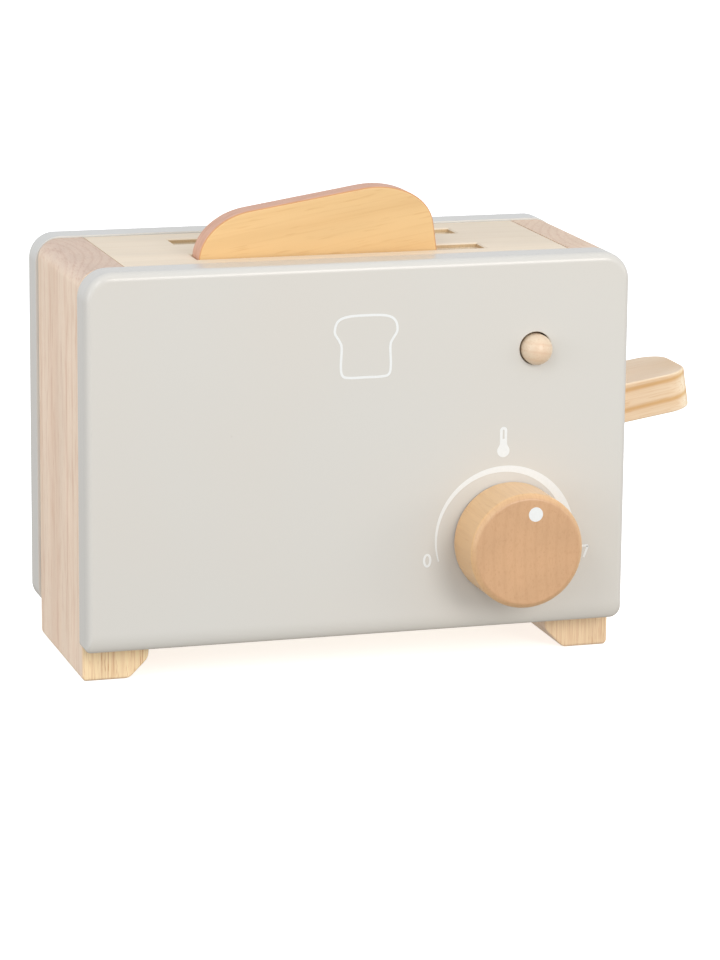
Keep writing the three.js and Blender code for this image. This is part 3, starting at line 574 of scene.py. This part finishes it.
low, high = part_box("top_plate")
lowest, highest = low.z / MM, high.z / MM + TOP_FLUSH
plate = board("top_plate_routed", rectangle(low.x / MM, low.y / MM, high.x / MM, high.y / MM),
              rounded_ends(highest - lowest, PLATE_EASE, PLATE_EASE),
              lambda u, v, along: (u, v, lowest + along))
middle_x, middle_y = (low.x + high.x) / 2 / MM, (low.y + high.y) / 2 / MM
for way in (-1, 1):
    slot_y = middle_y + way * SLOT_SPACING / 2
    mouth = rectangle(middle_x - SLOT_LENGTH / 2, slot_y - SLOT_WIDTH / 2,
                      middle_x + SLOT_LENGTH / 2, slot_y + SLOT_WIDTH / 2)
    flare = [(0, lowest - OVERRUN), (0, highest - SLOT_EASE), (-SLOT_EASE, highest),
             (-SLOT_EASE, highest + OVERRUN)]
    cut(plate, board("slot_router", mouth, flare, lambda u, v, along: (u, v, along)))
fit(plate, "case", birch, "top_plate")
paint_sides(plate, ply_edge, Z_AXIS)

low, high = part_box("base_plate")
bottom = low.z / MM
floor_board = board("base_plate_sawn", rectangle(low.x / MM, low.y / MM, high.x / MM, high.y / MM),
                    rounded_ends((high.z - low.z) / MM, PLATE_EASE, PLATE_EASE),
                    lambda u, v, along: (u, v, bottom + along))
fit(floor_board, "case", birch, "base_plate")
paint_sides(floor_board, ply_edge, Z_AXIS)


# Guides, dowels and the button's block.
# Plain strips and round dowels of pale hardwood, planed and left bare, glued in where only a look down a
# slot finds them: two strips and a wide divider keep a slice upright, a cross dowel carries the lever.
hidden_wood, cross_wood = (
    wood(name, grain, pith, ring=5, ring_depth=0.3, fibre=0.7, layer=1, fibre_depth=0.3, early="efd7b2",
         late="cfa777", flat="fcf6f4", end="dcc7b4", roughness=0.62)
    for name, grain, pith in (("planed_pale_hardwood", ALONG_X, (0, 90, -40)),
                              ("pale_hardwood_dowel", ALONG_Y, (60, 90, 0)))
)
dowels = [f"{panel}_dowel_{side}_{level}"
          for panel in ("front", "rear") for side in ("left", "right") for level in ("lower", "upper")]


def refinish(name, material):
    """Gives a solid whose shape is right as it is the finish of the real piece."""
    frame["nodes"][name].data.materials.clear()
    frame["nodes"][name].data.materials.append(material)


for name in ("front_guide", "rear_guide", "centre_divider", "button_block"):
    refinish(name, hidden_wood)
for name in (*dowels, "pivot_dowel"):
    refinish(name, cross_wood)


# Lever.
# One thick board of pine with clear yellow rings on its sawn edge. It comes out through the right board as a
# paddle with rounded corners, turns on the cross dowel, and carries the toast's rest on its inner end.
ARM_THICKNESS, ARM_WIDTH = 15, 34
ARM_OUTER, ARM_INNER = 74.5, 112
ARM_OUTER_CORNER, ARM_INNER_CORNER = 10, 3
ARM_EASE = 0.8
REST_TILT = 9
DOWEL_HOLE = 3.15
REST_LENGTH, REST_WIDTH, REST_THICKNESS, REST_CORNER = 92, 46, 6, 3
SEAT_GAP = 0.3
SMALL_TURNING_SIDES = 48
rock = next(joint for joint in frame["joints"] if joint["name"] == "lever_rock")
lever_place = Matrix.Translation(rock["pos_m"]) @ Matrix.Rotation(math.radians(-REST_TILT), 4, "Y")

# Oiled pine sawn along the log: soft amber rings 7.5 mm apart that run the paddle's length and climb a
# little towards its end, yellower on the sawn edge than on the flat top and bottom.
CLIMB = 1.5
climbing = (ALONG_X[0], ALONG_X[1] + CLIMB, ALONG_X[2])
lever_pine = wood("oiled_pine_lever", climbing, (149.05, 0, 0), ring=7.5, ring_depth=0.75, fibre=0.5,
                  layer=0.5, fibre_depth=0.4, early="feefd4", late="e0b46c", flat="f4efee", sawn="f0e4da",
                  end="f0e0cc", roughness=0.5, fleck_depth=0.3, bend=0.5, calm=0.5)


def four_corners(x0, y0, x1, y1, left_radius, right_radius):
    """A rectangle's outline with its left and its right corners rounded."""
    return [
        *arc(x1 - right_radius, y1 - right_radius, right_radius, 0, 90),
        *arc(x0 + left_radius, y1 - left_radius, left_radius, 90, 180),
        *arc(x0 + left_radius, y0 + left_radius, left_radius, 180, 270),
        *arc(x1 - right_radius, y0 + right_radius, right_radius, 270, 360),
    ]


arm_outline = four_corners(-ARM_INNER, -ARM_WIDTH / 2, ARM_OUTER, ARM_WIDTH / 2,
                           ARM_INNER_CORNER, ARM_OUTER_CORNER)
arm = board("lever_arm_sanded", arm_outline, rounded_ends(ARM_THICKNESS, ARM_EASE, ARM_EASE),
            lambda u, v, along: (u, v, along - ARM_THICKNESS / 2))
dowel_hole = [(DOWEL_HOLE, -ARM_WIDTH), (DOWEL_HOLE, ARM_WIDTH)]
cut(arm, turned("dowel_drill", dowel_hole, 0, 0, SMALL_TURNING_SIDES))
arm.matrix_world = lever_place
fit(arm, "lever", lever_pine, "lever_arm")

rest_low = ARM_THICKNESS / 2 + SEAT_GAP
rest_outline = four_corners(-ARM_INNER, -REST_WIDTH / 2, REST_LENGTH - ARM_INNER, REST_WIDTH / 2,
                            REST_CORNER, REST_CORNER)
toast_rest = board("toast_platform_sanded", rest_outline,
                   rounded_ends(REST_THICKNESS, PLATE_EASE, PLATE_EASE),
                   lambda u, v, along: (u, v, rest_low + along))
toast_rest.matrix_world = lever_place
fit(toast_rest, "lever", birch, "toast_platform")
paint_sides(toast_rest, ply_edge, Z_AXIS)

# Zinc-plated steel of screws, washer and spring: bright grey with a fine mottled sheen.
ZINC_SPACING, ZINC_GLOSSY, ZINC_DULL = 0.4, 0.25, 0.45
zinc, tree, surface = new_material("zinc_plated_steel", {"Metallic": 1, "Base Color": srgb("c9cacb")})
coords = add(tree, "TexCoord")
spacing = {"Vector": coords.outputs["Object"], "Scale": 1 / (ZINC_SPACING * MM), "Detail": 2}
mottle = add(tree, "TexNoise", spacing)
dull = add(tree, "MapRange", {"Value": mottle.outputs["Fac"], "To Min": ZINC_GLOSSY, "To Max": ZINC_DULL})
tree.links.new(dull.outputs[0], surface.inputs["Roughness"])
for name in ("platform_screw_1", "platform_screw_2", "button_spring", "knob_washer", "knob_screw"):
    refinish(name, zinc)


# Slice of toast.
# A thin board sawn to the outline of a slice, its faces stained the yellow of toasted bread, its edge painted
# as a crust in a dusty brown. It stands loose on the lever's rest, in the front slot, and leans as it does.
TOAST_WIDTH, TOAST_HEIGHT, TOAST_THICKNESS = 90, 88.2, 10
TOAST_RIGHT_RUN, TOAST_RIGHT_RISE = 25, 17.5
TOAST_LEFT_RUN, TOAST_LEFT_RISE = 22, 17
TOAST_TUCK = 2
TOAST_LOWER_CORNER = 9
TOAST_EASE = 0.8
TOAST_ALONG = -64.9  # from the cross dowel, along the lever
SHOULDER_STEPS = 24
toast_foot = rest_low + REST_THICKNESS + SEAT_GAP
toast_y = -SLOT_SPACING / 2

# Stained birch: a clear orange-yellow that lets the wood show as faint lines and short dashes along the
# slice.
stained = wood("stained_birch", ALONG_X, (0, 120, -30), ring=8, ring_depth=0.12, fibre=0.7, layer=1,
               fibre_depth=0.15, early="e1bc84", late="c28e50", flat="fff8f0", end="f0cfa0", roughness=0.45,
               fleck_depth=0.22)

# Crust paint: matt, dusty pink-brown, brushed on thin enough that the wood's lines stay in it. On the eased
# rim the faces' stain has run under it and turns it orange-brown.
STROKE_DRAW = 0.15  # scale along a stroke, 1 across it
STROKE_WIDTH = 1.0
RIM_START, RIM_END = 0.35, 0.8
crust, tree, surface = new_material("brushed_crust_paint", {"Roughness": 0.5, "IOR": 1.5})
coords = add(tree, "TexCoord")
brushed = add(tree, "Mapping", {"Vector": coords.outputs["Object"], "Scale": (STROKE_DRAW, 1, STROKE_DRAW)})
strokes = add(tree, "TexNoise", {"Vector": brushed.outputs[0], "Scale": 1 / (STROKE_WIDTH * MM), "Detail": 3})
reach = {"Value": strokes.outputs["Fac"], "From Min": NOISE_LOW, "From Max": NOISE_HIGH}
varied = add(tree, "MapRange", reach)
painted = add(tree, "Mix", {0: varied.outputs[0], MIX_A: srgb("d39f81"), MIX_B: srgb("e0b29a")},
              data_type="RGBA")
through = add(tree, "SeparateXYZ", {0: coords.outputs["Normal"]})
turned_in = add(tree, "Math", {0: through.outputs["Y"]}, operation="ABSOLUTE")
rim = add(tree, "MapRange", {"Value": turned_in.outputs[0], "From Min": RIM_START, "From Max": RIM_END})
rimmed = add(tree, "Mix", {0: rim.outputs[0], MIX_A: painted.outputs[MIX_RESULT], MIX_B: srgb("d0965f")},
             data_type="RGBA")
tree.links.new(rimmed.outputs[MIX_RESULT], surface.inputs["Base Color"])
relief = add(tree, "Bump", {"Height": strokes.outputs["Fac"], "Strength": RELIEF_STRENGTH,
                            "Distance": RELIEF_DEPTH * MM})
tree.links.new(relief.outputs[0], surface.inputs["Normal"])


def side_curve(start, first, second, end, steps=16):
    """Points along a cubic curve, without its two ends."""
    points = []
    for i in range(1, steps):
        s = i / steps
        weights = ((1 - s) ** 3, 3 * s * (1 - s) ** 2, 3 * s**2 * (1 - s), s**3)
        pulls = list(zip(weights, (start, first, second, end)))
        points.append(tuple(sum(w * p[k] for w, p in pulls) for k in (0, 1)))
    return points


def slice_side(run, rise):
    """One side of the slice: lower corner, a side that tucks in to a waist, and the wide upper corner."""
    half, shoulder, low = TOAST_WIDTH / 2, TOAST_HEIGHT - rise, TOAST_LOWER_CORNER
    waist, bend = half - TOAST_TUCK, (shoulder - low) / 3
    quarter = [math.radians(90 * i / SHOULDER_STEPS) for i in range(SHOULDER_STEPS + 1)]
    return [
        *arc(waist - low, low, low, 270, 360),
        *side_curve((waist, low), (waist, low + bend), (half, shoulder - bend), (half, shoulder)),
        *((half - run + run * math.cos(t), shoulder + rise * math.sin(t)) for t in quarter),
    ]


left_side = [(-u, v) for u, v in reversed(slice_side(TOAST_LEFT_RUN, TOAST_LEFT_RISE))]
toast_outline = slice_side(TOAST_RIGHT_RUN, TOAST_RIGHT_RISE) + left_side
toast = board("toast_slice_painted", toast_outline, rounded_ends(TOAST_THICKNESS, TOAST_EASE, TOAST_EASE),
              lambda u, v, along: (u, along - TOAST_THICKNESS / 2, v))
toast.matrix_world = lever_place @ Matrix.Translation(Vector((TOAST_ALONG, toast_y, toast_foot)) * MM)
fit(toast, "toast", stained, "toast_slice")
paint_sides(toast, crust, Y_AXIS, NEARLY_SQUARE)


# Button.
# A short peg turned from pale beech with a round end, loose in its hole. A flange keeps it from falling out
# at the front, and a spring in the block behind pushes it back.
PEG_RADIUS, PEG_DOME = 5.7, 5.2
PEG_FLANGE_RADIUS, PEG_FLANGE = 7.6, 3
PEG_EASE = 0.4
PEG_SAG_X, PEG_SAG_Z = 0.25, -0.28  # the loose peg rests on the lower right of its hole
DOME_STEPS = 14
DOME_END = 88  # degrees: it stops short of 90, so that the last ring isn't a single point
peg_back, peg_front = peg_high.y / MM, peg_low.y / MM
dome_start = peg_front + PEG_DOME

# Turned beech seen from its end: pale peach with a satin shine, hardly any figure.
peg_wood = wood("turned_beech_peg", ALONG_Y, (30, 0, 0), ring=3, ring_depth=0.2, fibre=0.5, layer=1,
                fibre_depth=0.2, early="e8d3b8", late="d4a679", flat="ffffff", end="fbf6f4", roughness=0.3,
                fleck_depth=0.15)

dome = [(PEG_RADIUS * math.cos(t), dome_start - PEG_DOME * math.sin(t))
        for t in (math.radians(DOME_END * i / DOME_STEPS) for i in range(DOME_STEPS + 1))]
flange_front = peg_back - PEG_FLANGE
peg_profile = [
    (PEG_FLANGE_RADIUS - PEG_EASE, peg_back), (PEG_FLANGE_RADIUS, peg_back - PEG_EASE),
    (PEG_FLANGE_RADIUS, flange_front + PEG_EASE), (PEG_FLANGE_RADIUS - PEG_EASE, flange_front),
    (PEG_RADIUS, flange_front), *dome,
]
fit(turned("button_peg_turned", peg_profile, peg_x + PEG_SAG_X, peg_z + PEG_SAG_Z), "button",
    peg_wood, "button_peg")


# Dial knob.
# A thick disc turned from beech with its grain running front to back, so that its face is darker end grain
# with fine dots and its side shows straight lines. The front rim is bevelled, and a printed dot points at
# the scale.
KNOB_RADIUS, KNOB_BEVEL, KNOB_BACK_BEVEL = 21.5, 1.7, 0.6
KNOB_SOFTENING = 0.6
DOT_X, DOT_Z, DOT_RADIUS = 2.65, 13.9, 2.7
SPINDLE_SOCKET_RADIUS, SPINDLE_SOCKET_DEPTH = 4.15, 13.2
knob_front, knob_back = knob_low.y / MM, knob_high.y / MM

# Turned beech: pink-brown end grain on the face with faint upright streaks, straw-coloured side, satin oil.
knob_wood = wood("turned_beech_dial", ALONG_Y, (170, -47, 0), ring=4, ring_depth=0.1, fibre=0.6, layer=0.3,
                 fibre_depth=0.22, early="ecc492", late="c6925f", flat="fffcf8", end="e1d9de", roughness=0.34,
                 fleck_depth=0.2, bend=0.6, cast_from=0.45)

bevel = KNOB_BEVEL
soft = KNOB_SOFTENING
knob_profile = [
    (KNOB_RADIUS - KNOB_BACK_BEVEL - RIM_SUPPORT, knob_back), (KNOB_RADIUS - KNOB_BACK_BEVEL, knob_back),
    (KNOB_RADIUS, knob_back - KNOB_BACK_BEVEL), (KNOB_RADIUS, knob_back - KNOB_BACK_BEVEL - RIM_SUPPORT),
    (KNOB_RADIUS, knob_front + bevel + soft + RIM_SUPPORT),
    *softened((KNOB_RADIUS, knob_front + bevel + soft), (KNOB_RADIUS, knob_front + bevel),
              (KNOB_RADIUS - soft, knob_front + bevel - soft)),
    *softened((KNOB_RADIUS - bevel + soft, knob_front + soft), (KNOB_RADIUS - bevel, knob_front),
              (KNOB_RADIUS - bevel - soft, knob_front)),
    (KNOB_RADIUS - bevel - soft - RIM_SUPPORT, knob_front),
]
dial = turned("knob_turned", knob_profile, knob_x, knob_z)
socket = [(SPINDLE_SOCKET_RADIUS, knob_back - SPINDLE_SOCKET_DEPTH),
          (SPINDLE_SOCKET_RADIUS, knob_back + OVERRUN)]
cut(dial, turned("spindle_socket_drill", socket, knob_x, knob_z, SMALL_TURNING_SIDES))
fit(dial, "knob", knob_wood, "knob")

dot_rings = [(DOT_RADIUS, knob_front - INK), (DOT_RADIUS, knob_front + INK)]
dot = turned("knob_dot", dot_rings, knob_x + DOT_X, knob_z + DOT_Z, SMALL_TURNING_SIDES)
fit(dot, "knob", ink)
refinish("knob_spindle", cross_wood)


# Studio.
# A plain white floor that runs out of sight, soft boxes in front, on both sides and at the upper left, which
# draw bright lines on rounded edges, a pale surround that is dimmer below, and the photograph's camera.
FLOOR_SIZE, FLOOR_THICKNESS = 6000, 20
FLOOR_GLOW = 0.6
PULP_SPACING = 3
LIGHT_TARGET = (-0.02, 0.0, 0.08)  # metres, as the lamps' distances and sizes are
SURROUND = ((-1, "b0aaa2"), (-0.4, "b0aaa2"), (-0.05, "e6e7e9"), (1, "e0e3e9"))  # from below to above
CAMERA_LENS = 145.94
CAMERA_PLACE = (-422.1, -1356.9, 390.9)
CAMERA_RIGHT = (0.95727, -0.28904, 0.00949)
CAMERA_UP = (0.05614, 0.21793, 0.97435)
CAMERA_BACK = (-0.28369, -0.93218, 0.22484)

half = FLOOR_SIZE / 2
corners = rectangle(-half, -half, half, half)
ground = skin("floor", [[(x, y, z) for x, y in corners] for z in (-FLOOR_THICKNESS, 0)])

# White paper: dull and bright, with the faintest cloudiness, and a glow that keeps its shadows faint.
paper, tree, surface = new_material("white_paper", {"Roughness": 0.9, "Emission Color": srgb("ffffff"),
                                                    "Emission Strength": FLOOR_GLOW})
coords = add(tree, "TexCoord")
spacing = {"Vector": coords.outputs["Object"], "Scale": 1 / (PULP_SPACING * MM), "Detail": 2}
pulp = add(tree, "TexNoise", spacing)
shade = add(tree, "Mix", {0: pulp.outputs["Fac"], MIX_A: srgb("fbfbfa"), MIX_B: srgb("f7f7f5")},
            data_type="RGBA")
tree.links.new(shade.outputs[MIX_RESULT], surface.inputs["Base Color"])
ground.data.materials.append(paper)
ground.visible_diffuse = ground.visible_glossy = False  # the light from below comes from the surround alone

# Each lamp's bearing and height in degrees, distance, size, watts and colour.
target = Vector(LIGHT_TARGET)
for name, azimuth, height, distance, size, power, colour in (
    ("front_softbox", 18, 20, 1.1, 0.45, 4.1, "fffaf5"),
    ("left_softbox", -65, 12, 1.1, 0.5, 1.75, "f6f8ff"),
    ("right_softbox", 59, 9, 1.5, 0.35, 1.4, "fff6ea"),
    ("upper_softbox", -38, 38, 1.2, 0.3, 1.6, "ffffff"),
):
    light = bpy.data.lights.new(name, "AREA")
    light.size = size
    light.energy = power
    light.color = srgb(colour)[:3]
    lamp = bpy.data.objects.new(name, light)
    across, up = math.radians(azimuth), math.radians(height)
    away = Vector((math.sin(across) * math.cos(up), -math.cos(across) * math.cos(up), math.sin(up)))
    lamp.location = target + away * distance
    lamp.rotation_euler = away.to_track_quat("Z", "Y").to_euler()
    bpy.context.scene.collection.objects.link(lamp)

world = bpy.data.worlds.new("studio_light")
world.use_nodes = True
tree = world.node_tree
towards = add(tree, "SeparateXYZ", {0: add(tree, "TexCoord").outputs["Generated"]})
height = add(tree, "MapRange", {"Value": towards.outputs["Z"], "From Min": -1})
walls = add(tree, "ValToRGB", {"Fac": height.outputs[0]})
stops = walls.color_ramp.elements
for i, (level, code) in enumerate(SURROUND):
    stop = stops[i] if i < len(stops) else stops.new(1)
    stop.position, stop.color = (level + 1) / 2, srgb(code)
tree.links.new(walls.outputs["Color"], tree.nodes["Background"].inputs["Color"])
bpy.context.scene.world = world
bpy.context.scene.view_settings.view_transform = "Standard"

camera = bpy.data.objects.new("camera", bpy.data.cameras.new("camera"))
camera.data.lens = CAMERA_LENS
turn = Matrix((CAMERA_RIGHT, CAMERA_UP, CAMERA_BACK)).transposed().to_4x4()
camera.matrix_world = Matrix.Translation(Vector(CAMERA_PLACE) * MM) @ turn
bpy.context.scene.collection.objects.link(camera)
bpy.context.scene.camera = camera
